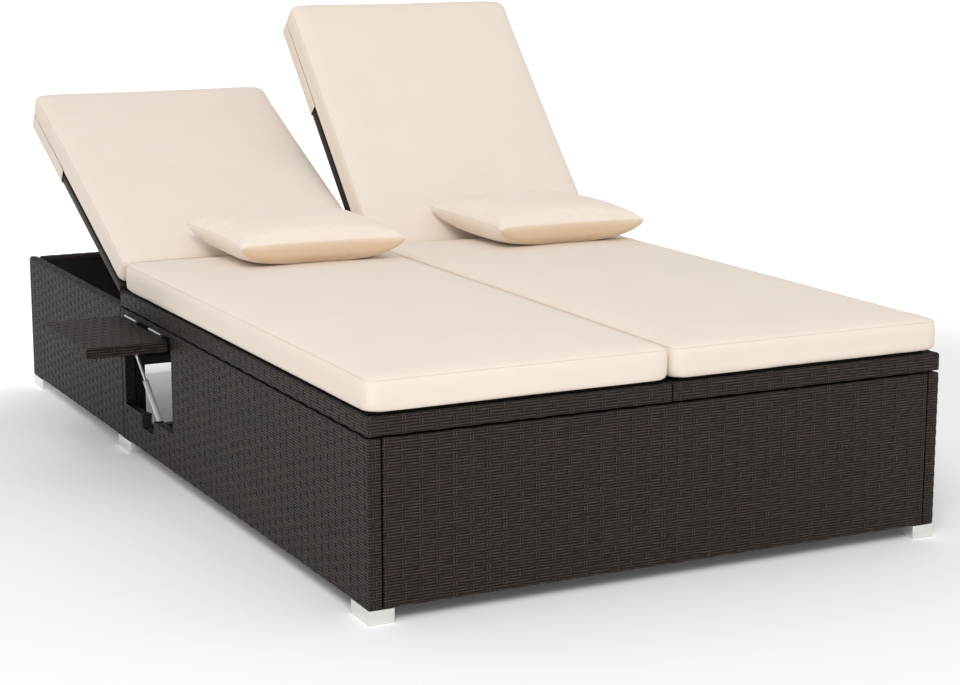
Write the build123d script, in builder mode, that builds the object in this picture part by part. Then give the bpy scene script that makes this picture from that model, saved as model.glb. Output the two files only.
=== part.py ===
from build123d import *
import math
import os

# Outdoor daybed for two: a woven base on a welded tube frame, two seats, two backs that recline on
# ratchet hinges, and a folding side tray on each side that a gas strut holds up.
# All lengths are millimetres. X runs across the bed, Y from the foot end to the head end, Z up.
# The origin is on the floor under the middle of the bed.

# Overall body
body_width = 1150.0
body_length = 2040.0
seat_length = 1311.0
foot_height = 25.0
panel_height = 289.0
seam_height = 3.0
rail_height = 34.0

# Woven panels
panel_thickness = 25.0
panel_seam = 1.5
panel_round = 3.0
wall_round = 9.0
rear_wall_lift = 1.0

# Side opening behind each tray
opening_setback = 21.0
opening_length = 306.5
ledge_height = 103.0
notch_setback = 106.0
notch_length = 76.0
notch_floor = 76.0

# Inner steel frame
tube = 20.0
rail_lift = 5.0
tray_post_gap = 5.0

# Feet
foot_along = 77.0
foot_across = 47.0
middle_foot_along = 85.0
foot_chamfer = 1.5

# Seat frames and decks
seat_rail = 24.0
seat_split = 1.0
rail_round = 5.0
deck_thickness = 10.0
batten_width = 30.0
batten_count = 4

# Seat cushions
cushion_gap = 0.3
cushion_edge = 60.0
cushion_crown = 18.0
seat_cushion_setback = 49.0
seat_cushion_overhang = 2.0
cushion_split = 1.5
cushion_waist = 5.0
cushion_corner_draw = 14.0
cushion_side_draw = 7.0
cushion_end_round = 46.0

# Backs
hinge_setback = 14.0
hinge_height = 343.0
back_tilt_left = 25.0
back_tilt_right = 47.0
back_length = 719.0
back_start = 5.0
back_tube = 22.0
back_inset = 3.0
back_deck_thickness = 10.0
back_bar_along = 100.0
back_deck_along = 20.0
back_bar_count = 3
back_edge = 58.0
back_crown = 13.0

# Pocket sewn on each back cushion, pulled over the top of its frame
pocket_length = 254.0
pocket_cloth = 2.0
pocket_gap = 0.3

# Ratchet hinges of the backs
drum_radius = 12.5
plate_thickness = 4.0
drum_depth = 8.0
plate_gap = 0.3
pivot_radius = 4.0
pivot_clearance = 0.08
pivot_head_radius = 6.5
pivot_head_depth = 3.0
arm_length = 95.0
arm_height = 18.0
strap_length = 32.0
strap_width = 26.0
strap_thickness = 4.0
cheek_height = 11.0

# Pillows
pillow_width = 372.0
pillow_depth = 322.0
pillow_under = 41.0
pillow_over = 52.0
pillow_draw = 17.0
pillow_tilt = 3.5
pillow_left_across = 344.0
pillow_right_across = 940.0
pillow_setback = 153.0
pillow_left_yaw = 1.0
pillow_right_yaw = 2.8
pillow_settle = 9.3

# Trays
tray_reach = 173.0
tray_drop = 18.0
tray_thickness = 24.0
tray_side_gap = 1.5
tray_round = 3.0

# Tray butt hinges
butt_length = 76.0
butt_radius = 3.0
butt_leaf = 1.2
butt_leaf_width = 21.0
butt_leaf_gap = 0.6
butt_pin_radius = 1.5
butt_pin_clearance = 0.08
butt_knuckles = 5
butt_knuckle_gap = 0.4
butt_front_inset = 44.5
butt_rear_inset = 25.0

# Tray struts
strut_notch_offset = 42.0
strut_foot_inset = 31.0
strut_foot_height = 85.0
strut_head_reach = 18.0
strut_head_height = 243.0
cylinder_radius = 6.0
cylinder_start = 9.0
cylinder_length = 104.0
rod_radius = 3.0
rod_clearance = 0.1
rod_length = 128.0
eye_radius = 5.0
eye_thickness = 5.0
strut_pin_radius = 2.0
strut_pin_clearance = 0.08
bracket_plate = 2.0
bracket_gap = 0.5
bracket_base = 26.0
head_plate_width = 16.0
bracket_ear = 5.5

# Brace behind the front corner of each opening
brace_width = 14.0
brace_thickness = 3.0
brace_rise = 95.0
brace_run = 62.0

overrun = 5.0

# Places worked out from the sizes above
half_width = body_width / 2
foot_end = -body_length / 2
head_end = body_length / 2
panel_top = foot_height + panel_height
frame_top = panel_top + seam_height
rail_top = frame_top + rail_height
wall_top = frame_top + rear_wall_lift
seat_end = foot_end + seat_length
frame_face = half_width - panel_thickness
rail_bottom = foot_height + rail_lift
hinge_y = seat_end + hinge_setback
half_seat = half_width - seat_split / 2

opening_end = seat_end - opening_setback
opening_start = opening_end - opening_length
notch_end = opening_end - notch_setback
notch_start = notch_end - notch_length

butt_half_gap = butt_leaf + butt_leaf_gap / 2
tray_top = frame_top - tray_drop
tray_bottom = tray_top - tray_thickness
butt_x = half_width + butt_radius
butt_z = tray_top + butt_radius
opening_top = butt_z + butt_half_gap
tray_edge = butt_x + butt_half_gap
BUTT_STARTS = (opening_start + butt_front_inset, opening_end - butt_rear_inset - butt_length)

strut_y = notch_start + strut_notch_offset
strut_foot_x = half_width - strut_foot_inset
strut_head_x = half_width + strut_head_reach
strut_lean = math.degrees(math.atan2(strut_head_x - strut_foot_x, strut_head_height - strut_foot_height))
strut_length = math.hypot(strut_head_x - strut_foot_x, strut_head_height - strut_foot_height)

SIDES = (("left", -1), ("right", 1))


def keep(part, label):
    """Label a finished piece and write it to its own file."""
    part.label = label
    export_step(part, f"parts/{label}.step")


def span(low, high):
    """Length and middle of the stretch between two places on one axis."""
    return high - low, (low + high) / 2


os.makedirs("parts", exist_ok=True)

# Places of the frame posts, which stand against the boards
front_post_y = foot_end + panel_thickness + tube / 2
tray_post_y = opening_start - tray_post_gap - tube / 2
seat_post_y = seat_end - tube / 2
rear_post_y = head_end - panel_thickness - tube / 2
post_x = frame_face - tube / 2
post_bottom = rail_bottom + tube
post_top = frame_top - tube
POST_ROWS = (front_post_y, tray_post_y, seat_post_y, rear_post_y)

# Front panel: a woven board set between the two side panels at the foot end
with BuildPart() as front_panel:
    with BuildSketch(Plane.XY.offset(foot_height)):
        with Locations((0, foot_end + panel_thickness / 2)):
            Rectangle(body_width - 2 * (panel_thickness + panel_seam), panel_thickness)
    extrude(amount=panel_height)
    fillet(front_panel.edges().filter_by(Axis.X), radius=panel_round)
keep(front_panel.part, "front_panel")

# Side panels: woven boards with the tray opening, the strut notch in its ledge and the apron over it
for side, sign in SIDES:
    with BuildPart() as side_panel:
        with BuildSketch(Plane.YZ.offset(sign * half_width)):
            length, middle = span(foot_end, seat_end - panel_seam)
            height, level = span(foot_height, panel_top)
            with Locations((middle, level)):
                Rectangle(length, height)
        extrude(amount=-sign * panel_thickness)
        fillet(side_panel.edges().filter_by(Axis.Z), radius=panel_round)
        with BuildSketch(Plane.YZ.offset(sign * half_width)):
            length, middle = span(opening_start, opening_end)
            height, level = span(ledge_height, opening_top)
            with Locations((middle, level)):
                Rectangle(length, height)
            length, middle = span(notch_start, notch_end)
            height, level = span(notch_floor, ledge_height + overrun)
            with Locations((middle, level)):
                Rectangle(length, height)
        extrude(amount=-sign * panel_thickness, mode=Mode.SUBTRACT)
    keep(side_panel.part, f"side_panel_{side}")

# Rear side panels: the walls of the open box at the head end, with a rolled top edge
for side, sign in SIDES:
    with BuildPart() as rear_side_panel:
        with BuildSketch(Plane.XZ.offset(-seat_end)):
            width, middle = span(frame_face, half_width)
            height, level = span(foot_height, wall_top)
            with Locations((sign * middle, level)):
                Rectangle(width, height)
        extrude(amount=-(body_length - seat_length))
        top = rear_side_panel.faces().sort_by(Axis.Z)[-1]
        fillet(top.edges().filter_by(Axis.Y), radius=wall_round)
        fillet(rear_side_panel.edges().filter_by(Axis.Z).group_by(Axis.Y)[-1], radius=panel_round)
    keep(rear_side_panel.part, f"rear_side_panel_{side}")

# Rear panel: closes the head end between the rear side panels
with BuildPart() as rear_panel:
    with BuildSketch(Plane.YZ.offset(-frame_face + panel_seam)):
        length, middle = span(head_end - panel_thickness, head_end)
        height, level = span(foot_height, wall_top)
        with Locations((middle, level)):
            Rectangle(length, height)
    extrude(amount=2 * (frame_face - panel_seam))
    top = rear_panel.faces().sort_by(Axis.Z)[-1]
    fillet(top.edges().filter_by(Axis.X), radius=wall_round)
keep(rear_panel.part, "rear_panel")

# Frame posts: upright tubes at the corners of the seat section, beside each opening and in the rear box
with BuildPart() as frame_posts:
    with BuildSketch(Plane.XY.offset(post_bottom)):
        with Locations(*[(sign * post_x, y) for sign in (-1, 1) for y in POST_ROWS]):
            Rectangle(tube, tube)
        with Locations((0, front_post_y), (0, seat_post_y)):
            Rectangle(tube, tube)
    extrude(amount=post_top - post_bottom)
keep(frame_posts.part, "frame_posts")

# Bottom rails: the lower ring of square tube, and the cross tube between the two sections
side_rail_length = head_end - foot_end - 2 * panel_thickness
cross_rail_length = 2 * (frame_face - tube)
with BuildPart() as bottom_rails:
    with BuildSketch(Plane.XY.offset(rail_bottom)):
        with Locations((-post_x, 0), (post_x, 0)):
            Rectangle(tube, side_rail_length)
        with Locations((0, front_post_y), (0, seat_post_y), (0, rear_post_y)):
            Rectangle(cross_rail_length, tube)
    extrude(amount=tube)
keep(bottom_rails.part, "bottom_rails")

# Top rails: carry the two seat frames along both sides, both ends and the middle of the seat section
with BuildPart() as top_rails:
    with BuildSketch(Plane.XY.offset(post_top)):
        length, middle = span(foot_end + panel_thickness, seat_end)
        with Locations((-post_x, middle), (post_x, middle)):
            Rectangle(tube, length)
        with Locations((0, front_post_y), (0, seat_post_y)):
            Rectangle(cross_rail_length, tube)
        with Locations((0, middle)):
            Rectangle(2 * tube, length - 2 * tube)
    extrude(amount=tube)
keep(top_rails.part, "top_rails")

# Opening braces: flat steel strips across the lower front corner behind each opening
for side, sign in SIDES:
    brace_x = frame_face - tube / 2
    low_y = tray_post_y + tube / 2 + brace_run
    with BuildPart() as opening_brace:
        with BuildSketch(Plane.YZ.offset(sign * (brace_x + brace_thickness / 2))):
            with BuildLine():
                Polyline(
                    (low_y, post_bottom),
                    (low_y - brace_width, post_bottom),
                    (tray_post_y + tube / 2, post_bottom + brace_rise - brace_width),
                    (tray_post_y + tube / 2, post_bottom + brace_rise),
                    close=True,
                )
            make_face()
        extrude(amount=-sign * brace_thickness)
    keep(opening_brace.part, f"opening_brace_{side}")

# Feet: brushed metal caps under the corners and under the joint between the two sections
FEET = (
    ("front", foot_end, foot_along),
    ("middle", seat_end - middle_foot_along / 2, middle_foot_along),
    ("rear", head_end - foot_along, foot_along),
)
for place, start, along in FEET:
    for side, sign in SIDES:
        with BuildPart() as foot:
            with BuildSketch():
                with Locations((sign * (half_width - foot_across / 2), start + along / 2)):
                    Rectangle(foot_across, along)
            extrude(amount=foot_height)
            chamfer(foot.edges().filter_by(Axis.Z), length=foot_chamfer)
            chamfer(foot.faces().sort_by(Axis.Z)[0].edges(), length=foot_chamfer / 2)
        keep(foot.part, f"foot_{place}_{side}")

# Places across each back and its hinges, from the middle of the back outwards
back_width = half_seat - 2 * back_inset
back_middle = seat_split / 2 + half_seat / 2
arm_outer = back_width / 2 - back_tube
arm_inner = arm_outer - plate_thickness
cheek_outer = arm_inner - plate_gap
cheek_inner = cheek_outer - plate_thickness

# Seat frames: woven rails round each seat, lying on the top rails and meeting at the centre split
for side, sign in SIDES:
    with BuildPart() as seat_frame:
        with BuildSketch(Plane.XY.offset(frame_top)):
            width, middle = span(seat_split / 2, half_width)
            with Locations((sign * middle, foot_end + seat_length / 2)):
                Rectangle(width, seat_length)
                Rectangle(width - 2 * seat_rail, seat_length - 2 * seat_rail, mode=Mode.SUBTRACT)
        extrude(amount=rail_height)
        outer = seat_frame.faces().sort_by(Axis.Z)[-1].outer_wire()
        fillet(outer.edges(), radius=rail_round)
    keep(seat_frame.part, f"seat_frame_{side}")

# Seat decks: a woven sheet flush with the rails on cross battens that butt against them
deck_width = half_width - seat_split / 2 - 2 * seat_rail
deck_length = seat_length - 2 * seat_rail
for side, sign in SIDES:
    middle_x = sign * (seat_split / 2 + seat_rail + deck_width / 2)
    with BuildPart() as seat_deck:
        with BuildSketch(Plane.XY.offset(rail_top - deck_thickness)):
            with Locations((middle_x, foot_end + seat_length / 2)):
                Rectangle(deck_width, deck_length)
        extrude(amount=deck_thickness)
        with BuildSketch(Plane.XY.offset(frame_top)):
            with Locations((middle_x, foot_end + seat_length / 2)):
                with GridLocations(0, deck_length / batten_count, 1, batten_count):
                    Rectangle(deck_width, batten_width)
        extrude(amount=rail_height - deck_thickness)
    keep(seat_deck.part, f"seat_deck_{side}")

# How far each end section of a cushion has turned from its end face to its flat
end_turn_shares = (0.0, 0.35, 0.65, 1.0)
crown_along_shares = (0.2, 0.35, 0.5, 0.65, 0.8)
end_lift_share = 0.3
end_face_crown_share = 0.06
end_crown_share = 0.25


def cushion(plane, width, length, edge, crown):
    """A boxed cushion that starts at the plane's origin, lies on its X and Y and rises along its Z."""
    rows = []
    for share in end_turn_shares:
        turned = math.sin(share * math.pi / 2)
        along = (1 - math.cos(share * math.pi / 2)) * cushion_end_round
        inset = (1 - turned) * end_lift_share * edge
        draw = (1 - turned) * cushion_corner_draw
        top = end_face_crown_share + turned * (end_crown_share - end_face_crown_share)
        rows.append((along, draw, inset, edge - inset, top * crown))
    ends = [(length - row[0],) + row[1:] for row in reversed(rows)]
    for share in crown_along_shares:
        swell = math.sin(share * math.pi)
        rows.append((share * length, swell * cushion_waist, 0, edge,
                     (end_crown_share + (1 - end_crown_share) * swell) * crown))
    with BuildPart() as body:
        for along, draw, low, high, top in rows + ends:
            half = width / 2 - draw
            flat = half - cushion_side_draw
            level = (low + high) / 2
            cut = Plane(plane.from_local_coords((0, along, 0)), x_dir=plane.x_dir,
                        z_dir=-plane.y_dir)
            with BuildSketch(cut):
                with BuildLine():
                    Line((-flat, low), (flat, low))
                    ThreePointArc((flat, low), (half, level), (flat, high))
                    ThreePointArc((flat, high), (0, high + top), (-flat, high))
                    ThreePointArc((-flat, high), (-half, level), (-flat, low))
                make_face()
        loft(ruled=True)
    return body.part


cushion_width = half_width - cushion_split / 2 - seat_cushion_overhang / 2

# Seat cushions: boxed cushions with a crown, lying on each seat's rails and deck
for side, sign in SIDES:
    corner = (sign * (cushion_split / 2 + cushion_width / 2), foot_end + seat_cushion_overhang,
              rail_top + cushion_gap)
    length = seat_length - seat_cushion_setback - seat_cushion_overhang
    seat_cushion = cushion(Plane(corner), cushion_width, length, cushion_edge, cushion_crown)
    keep(seat_cushion, f"seat_cushion_{side}")

# Backs: each is drawn in its own plane, with X across, Y up the back and Z out of its front
BACKS = (("left", -1, back_tilt_left), ("right", 1, back_tilt_right))


def back_plane(sign, angle, along=0.0, out=0.0):
    """The plane of one back, turned about its hinge line, moved up the back and out of its front."""
    up = math.sin(math.radians(angle))
    level = math.cos(math.radians(angle))
    origin = (sign * back_middle, hinge_y + along * level - out * up,
              hinge_height + along * up + out * level)
    return Plane(origin, x_dir=(1, 0, 0), z_dir=(0, -up, level))


for side, sign, angle in BACKS:
    # Back frame: a ring of square tube with cross bars
    with BuildPart() as back_frame:
        with BuildSketch(back_plane(sign, angle, out=-back_tube / 2)):
            length, middle = span(-back_start, back_length)
            with Locations((0, middle)):
                Rectangle(back_width, length)
            opening = back_width - 2 * back_tube
            pitch = (back_length - back_tube - back_bar_along) / (back_bar_count - 1)
            for index in range(back_bar_count - 1):
                low = back_bar_along + back_tube + index * pitch
                with Locations((0, low)):
                    Rectangle(opening, pitch - back_tube, align=(Align.CENTER, Align.MIN),
                              mode=Mode.SUBTRACT)
            with Locations((0, back_bar_along)):
                Rectangle(opening, back_bar_along + back_start + overrun,
                          align=(Align.CENTER, Align.MAX), mode=Mode.SUBTRACT)
        extrude(amount=back_tube)
    keep(back_frame.part, f"back_frame_{side}")

    # Back deck: a woven sheet inside the ring, on the front of the cross bars
    with BuildPart() as back_deck:
        with BuildSketch(back_plane(sign, angle, out=back_tube / 2)):
            length, middle = span(back_deck_along, back_length)
            with Locations((0, middle)):
                Rectangle(back_width, length)
        extrude(amount=back_deck_thickness)
    keep(back_deck.part, f"back_deck_{side}")

    # Back cushion: boxed like the seat cushions, lying on the deck
    rise = back_tube / 2 + back_deck_thickness + cushion_gap
    back_cushion = cushion(back_plane(sign, angle, along=-back_start, out=rise), cushion_width,
                           back_length + 2 * back_start, back_edge, back_crown)
    keep(back_cushion, f"back_cushion_{side}")

    # Cushion pocket: a cloth sleeve closed at the top, round the upper end of the frame and deck
    inner_width = back_width + 2 * pocket_gap
    inner_depth = back_tube + back_deck_thickness - 2 * pocket_gap
    with BuildPart() as cushion_pocket:
        with BuildSketch(back_plane(sign, angle, out=-back_tube / 2 - pocket_gap - pocket_cloth)):
            length, middle = span(back_length - pocket_length, back_length + pocket_gap + pocket_cloth)
            with Locations((0, middle)):
                Rectangle(inner_width + 2 * pocket_cloth, length)
        extrude(amount=inner_depth + pocket_cloth)
        with BuildSketch(back_plane(sign, angle, out=-back_tube / 2 - pocket_gap)):
            length, middle = span(back_length - pocket_length - overrun, back_length + pocket_gap)
            with Locations((0, middle)):
                Rectangle(inner_width, length)
        extrude(amount=inner_depth + overrun, mode=Mode.SUBTRACT)
    keep(cushion_pocket.part, f"cushion_pocket_{side}")

# Ratchet hinges: at each end of a back, a fixed strap with a cheek and drum, and an arm on the frame
for side, sign, angle in BACKS:
    centre_x = sign * back_middle
    with BuildPart() as hinge_arms:
        for end in (-1, 1):
            with BuildSketch(Plane.YZ.offset(centre_x + end * arm_outer)):
                with Locations((hinge_y, hinge_height)):
                    Circle(drum_radius)
                    Rectangle(arm_length, arm_height, rotation=angle, align=(Align.MIN, Align.CENTER))
                    Circle(pivot_radius + pivot_clearance, mode=Mode.SUBTRACT)
            extrude(amount=-end * plate_thickness)
    keep(hinge_arms.part, f"back_hinge_arms_{side}")

    with BuildPart() as hinge_cheeks:
        for end in (-1, 1):
            with BuildSketch(Plane.YZ.offset(centre_x + end * cheek_outer)):
                with BuildLine():
                    Polyline(
                        (seat_end - strap_length, rail_top),
                        (seat_end + seat_split, rail_top),
                        (hinge_y, hinge_height),
                        (hinge_y + drum_radius, hinge_height),
                        (hinge_y, rail_top + cheek_height),
                        (seat_end - strap_length, rail_top + strap_thickness),
                        close=True,
                    )
                make_face()
                with Locations((hinge_y, hinge_height)):
                    Circle(drum_radius)
                    Circle(pivot_radius + pivot_clearance, mode=Mode.SUBTRACT)
            extrude(amount=-end * plate_thickness)
            with BuildSketch(Plane.YZ.offset(centre_x + end * cheek_inner)):
                with Locations((hinge_y, hinge_height)):
                    Circle(drum_radius)
                    Circle(pivot_radius + pivot_clearance, mode=Mode.SUBTRACT)
            extrude(amount=-end * drum_depth)
            with BuildSketch(Plane.XY.offset(rail_top)):
                with Locations((centre_x + end * (cheek_outer - strap_width / 2),
                                seat_end - strap_length / 2)):
                    Rectangle(strap_width, strap_length)
            extrude(amount=strap_thickness)
    keep(hinge_cheeks.part, f"back_hinge_cheeks_{side}")

    with BuildPart() as hinge_pins:
        for end in (-1, 1):
            with BuildSketch(Plane.YZ.offset(centre_x + end * (cheek_inner - drum_depth))):
                with Locations((hinge_y, hinge_height)):
                    Circle(pivot_radius)
            extrude(amount=end * (drum_depth + 2 * plate_thickness + plate_gap))
            with BuildSketch(Plane.YZ.offset(centre_x + end * (cheek_inner - drum_depth))):
                with Locations((hinge_y, hinge_height)):
                    Circle(pivot_head_radius)
            extrude(amount=-end * pivot_head_depth)
    keep(hinge_pins.part, f"back_hinge_pins_{side}")

# Pillows: knife-edge cushions with drawn-in sides, lying on the seat cushions before the backs
pillow_along_shares = (0.0, 0.04, 0.12, 0.24, 0.4, 0.6, 0.76, 0.88, 0.96, 1.0)
pillow_edge_share = 0.05
pillow_plump_share = 0.72
pillow_draw_share = 0.6
pillow_seam = rail_top + cushion_gap + cushion_edge + cushion_crown + pillow_under - pillow_settle
PILLOWS = (
    ("left", pillow_left_across - half_width, pillow_left_yaw),
    ("right", pillow_right_across - half_width, pillow_right_yaw),
)
for side, across, yaw in PILLOWS:
    bed = Plane((across, seat_end - pillow_setback, pillow_seam)).rotated((0, 0, yaw))
    bed = bed.rotated((pillow_tilt, 0, 0))
    with BuildPart() as pillow:
        for share in pillow_along_shares:
            swell = math.sin(share * math.pi)
            thick = pillow_edge_share + (1 - pillow_edge_share) * swell ** pillow_plump_share
            half = pillow_width / 2 - pillow_draw * swell ** pillow_draw_share
            place = bed.from_local_coords((0, (share - 1 / 2) * pillow_depth, 0))
            with BuildSketch(Plane(place, x_dir=bed.x_dir, z_dir=-bed.y_dir)):
                with BuildLine():
                    ThreePointArc((-half, 0), (0, -thick * pillow_under), (half, 0))
                    ThreePointArc((half, 0), (0, thick * pillow_over), (-half, 0))
                make_face()
        loft(ruled=True)
    keep(pillow.part, f"pillow_{side}")

# Trays: woven boards hinged at the top of each opening, raised level beside the seat
tray_start = opening_start + tray_side_gap
tray_end = opening_end - tray_side_gap
for side, sign in SIDES:
    with BuildPart() as tray_panel:
        with BuildSketch(Plane.XY.offset(tray_top)):
            width, middle = span(tray_edge, half_width + tray_reach)
            length, along = span(tray_start, tray_end)
            with Locations((sign * middle, along)):
                Rectangle(width, length)
        extrude(amount=-tray_thickness)
        fillet(tray_panel.edges().filter_by(Axis.Y), radius=tray_round)
    keep(tray_panel.part, f"tray_panel_{side}")

# Tray butt hinges: two a side, with leaves that fold together when the tray hangs down
knuckle = (butt_length - (butt_knuckles - 1) * butt_knuckle_gap) / butt_knuckles
knuckle_pitch = knuckle + butt_knuckle_gap
leaf_start = butt_radius + butt_knuckle_gap


def butt_knuckle_row(sign, first, leaf_x, leaf_z, leaf_across, leaf_up):
    """Every other knuckle of both hinges of a side, each with the tongue that joins its leaf."""
    with BuildPart() as knuckles:
        for start in BUTT_STARTS:
            for index in range(first, butt_knuckles, 2):
                with BuildSketch(Plane.XZ.offset(-(start + index * knuckle_pitch))):
                    with Locations((sign * butt_x, butt_z)):
                        Circle(butt_radius)
                    with Locations((sign * leaf_x, leaf_z)):
                        Rectangle(leaf_across, leaf_up)
                    with Locations((sign * butt_x, butt_z)):
                        Circle(butt_pin_radius + butt_pin_clearance, mode=Mode.SUBTRACT)
                extrude(amount=-knuckle)
    return knuckles.part


leaf_middle = leaf_start + butt_leaf_width / 2
leaf_level = butt_leaf_gap / 2 + butt_leaf / 2
for side, sign in SIDES:
    with BuildPart() as fixed_leaves:
        for start in BUTT_STARTS:
            with BuildSketch(Plane.XZ.offset(-start)):
                with Locations((sign * (butt_x - leaf_middle), butt_z + leaf_level)):
                    Rectangle(butt_leaf_width, butt_leaf)
            extrude(amount=-butt_length)
        add(butt_knuckle_row(sign, 0, butt_x - leaf_start / 2, butt_z + leaf_level,
                             leaf_start, butt_leaf))
    keep(fixed_leaves.part, f"tray_hinge_fixed_leaves_{side}")

    with BuildPart() as moving_leaves:
        for start in BUTT_STARTS:
            with BuildSketch(Plane.XZ.offset(-start)):
                with Locations((sign * (butt_x + leaf_level), butt_z - leaf_middle)):
                    Rectangle(butt_leaf, butt_leaf_width)
            extrude(amount=-butt_length)
        add(butt_knuckle_row(sign, 1, butt_x + leaf_level, butt_z - leaf_start / 2,
                             butt_leaf, leaf_start))
    keep(moving_leaves.part, f"tray_hinge_moving_leaves_{side}")

    with BuildPart() as butt_pins:
        for start in BUTT_STARTS:
            with BuildSketch(Plane.XZ.offset(-start)):
                with Locations((sign * butt_x, butt_z)):
                    Circle(butt_pin_radius)
            extrude(amount=-butt_length)
    keep(butt_pins.part, f"tray_hinge_pins_{side}")

# Tray struts: a gas spring a side, pinned in a bracket on the bottom rail and socketed under the tray
ear_start = eye_thickness / 2 + bracket_gap
lean_across = math.sin(math.radians(strut_lean))
lean_up = math.cos(math.radians(strut_lean))
for side, sign in SIDES:
    foot_x = sign * strut_foot_x
    head_x = sign * strut_head_x
    axis = (sign * lean_across, 0, lean_up)

    with BuildPart() as lower_bracket:
        with BuildSketch(Plane.XY.offset(post_bottom)):
            with Locations((sign * post_x, strut_y)):
                Rectangle(tube, bracket_base)
        extrude(amount=bracket_plate)
        for end in (-1, 1):
            with BuildSketch(Plane.XZ.offset(-(strut_y + end * ear_start))):
                with Locations((foot_x, strut_foot_height)):
                    Circle(bracket_ear)
                    Rectangle(2 * bracket_ear, strut_foot_height - post_bottom,
                              align=(Align.CENTER, Align.MAX))
                    Circle(strut_pin_radius + strut_pin_clearance, mode=Mode.SUBTRACT)
            extrude(amount=-end * bracket_plate)
    keep(lower_bracket.part, f"strut_lower_bracket_{side}")

    with BuildPart() as lower_pin:
        with BuildSketch(Plane.XZ.offset(-strut_y)):
            with Locations((foot_x, strut_foot_height)):
                Circle(strut_pin_radius)
        extrude(amount=ear_start + bracket_plate, both=True)
    keep(lower_pin.part, f"strut_lower_pin_{side}")

    with BuildPart() as cylinder:
        base = Plane((foot_x, strut_y, strut_foot_height), x_dir=(0, 1, 0), z_dir=axis)
        with BuildSketch(base.offset(cylinder_start)):
            Circle(cylinder_radius)
        extrude(amount=cylinder_length - cylinder_start)
        with BuildSketch(base):
            Rectangle(eye_thickness, eye_thickness)
        extrude(amount=cylinder_start)
        with BuildSketch(Plane.XZ.offset(-strut_y)):
            with Locations((foot_x, strut_foot_height)):
                Circle(eye_radius)
        extrude(amount=eye_thickness / 2, both=True)
        with BuildSketch(Plane.XZ.offset(-strut_y)):
            with Locations((foot_x, strut_foot_height)):
                Circle(strut_pin_radius + strut_pin_clearance)
        extrude(amount=eye_thickness, both=True, mode=Mode.SUBTRACT)
        with BuildSketch(base.offset(strut_length - rod_length - overrun)):
            Circle(rod_radius + rod_clearance)
        extrude(amount=strut_length, mode=Mode.SUBTRACT)
    keep(cylinder.part, f"strut_cylinder_{side}")

    with BuildPart() as rod:
        head = Plane((head_x, strut_y, strut_head_height), x_dir=(0, 1, 0), z_dir=axis)
        with BuildSketch(head):
            Circle(rod_radius)
        extrude(amount=-rod_length)
        with BuildSketch(Plane.XZ.offset(-strut_y)):
            with Locations((head_x, strut_head_height)):
                Circle(eye_radius)
        extrude(amount=eye_thickness / 2, both=True)
    keep(rod.part, f"strut_rod_{side}")

    with BuildPart() as upper_bracket:
        with BuildSketch(Plane.XY.offset(tray_bottom)):
            with Locations((head_x, strut_y)):
                Rectangle(head_plate_width, bracket_base)
        extrude(amount=-bracket_plate)
        with BuildSketch(Plane.XZ.offset(-(strut_y + ear_start))):
            with Locations((head_x, strut_head_height)):
                Circle(bracket_ear)
                Rectangle(2 * bracket_ear, tray_bottom - strut_head_height,
                          align=(Align.CENTER, Align.MIN))
        extrude(amount=-bracket_plate)
        with BuildSketch(Plane.XZ.offset(-(strut_y + ear_start + bracket_plate))):
            with Locations((head_x, strut_head_height)):
                Circle(strut_pin_radius)
        extrude(amount=-bracket_plate)
    keep(upper_bracket.part, f"strut_upper_bracket_{side}")
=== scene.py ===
import bisect
import math
import random

import bmesh
import bpy
from mathutils import Matrix, Vector
from mathutils.bvhtree import BVHTree


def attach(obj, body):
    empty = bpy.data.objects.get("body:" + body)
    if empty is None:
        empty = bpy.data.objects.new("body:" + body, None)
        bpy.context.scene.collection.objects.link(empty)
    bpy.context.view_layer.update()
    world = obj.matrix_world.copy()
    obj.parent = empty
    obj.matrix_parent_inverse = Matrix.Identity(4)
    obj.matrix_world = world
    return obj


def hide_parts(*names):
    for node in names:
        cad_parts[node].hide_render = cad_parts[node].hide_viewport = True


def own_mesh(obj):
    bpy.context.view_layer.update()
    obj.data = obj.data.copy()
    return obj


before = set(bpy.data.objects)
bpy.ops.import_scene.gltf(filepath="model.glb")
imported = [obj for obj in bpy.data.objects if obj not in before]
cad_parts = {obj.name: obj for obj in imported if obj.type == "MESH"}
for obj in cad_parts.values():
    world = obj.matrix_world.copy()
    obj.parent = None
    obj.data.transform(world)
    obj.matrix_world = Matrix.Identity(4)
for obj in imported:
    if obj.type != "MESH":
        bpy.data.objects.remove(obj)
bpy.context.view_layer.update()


# View: the camera stands left of the foot end, a little over a metre above the floor and four
# metres away, and looks slightly down on the bed.
def add_object(name, data):
    """An object that shows some data in the scene."""
    thing = bpy.data.objects.new(name, data)
    bpy.context.scene.collection.objects.link(thing)
    return thing


view = bpy.data.cameras.new("view")
view.sensor_width = 36.0
view.lens = 81.335
view.clip_end = 200.0
camera = add_object("view", view)
camera.location = (-1.93165, -4.12610, 1.16343)
camera.rotation_euler = (math.pi / 2 - 0.200870, 0.0, -0.465291)
bpy.context.scene.camera = camera


# Tube frame: square steel tube, mitred and welded into a lower ring, posts and an upper ring, with
# a flat strip across the lower front corner of each opening. All of it is powder coated black.
def linear(code):
    """A colour written as sRGB hex, in the linear values that Blender mixes."""
    parts = [int(code[i:i + 2], 16) / 255 for i in (1, 3, 5)]
    return tuple(((c + 0.055) / 1.055) ** 2.4 if c > 0.04045 else c / 12.92 for c in parts) + (1.0,)


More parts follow.
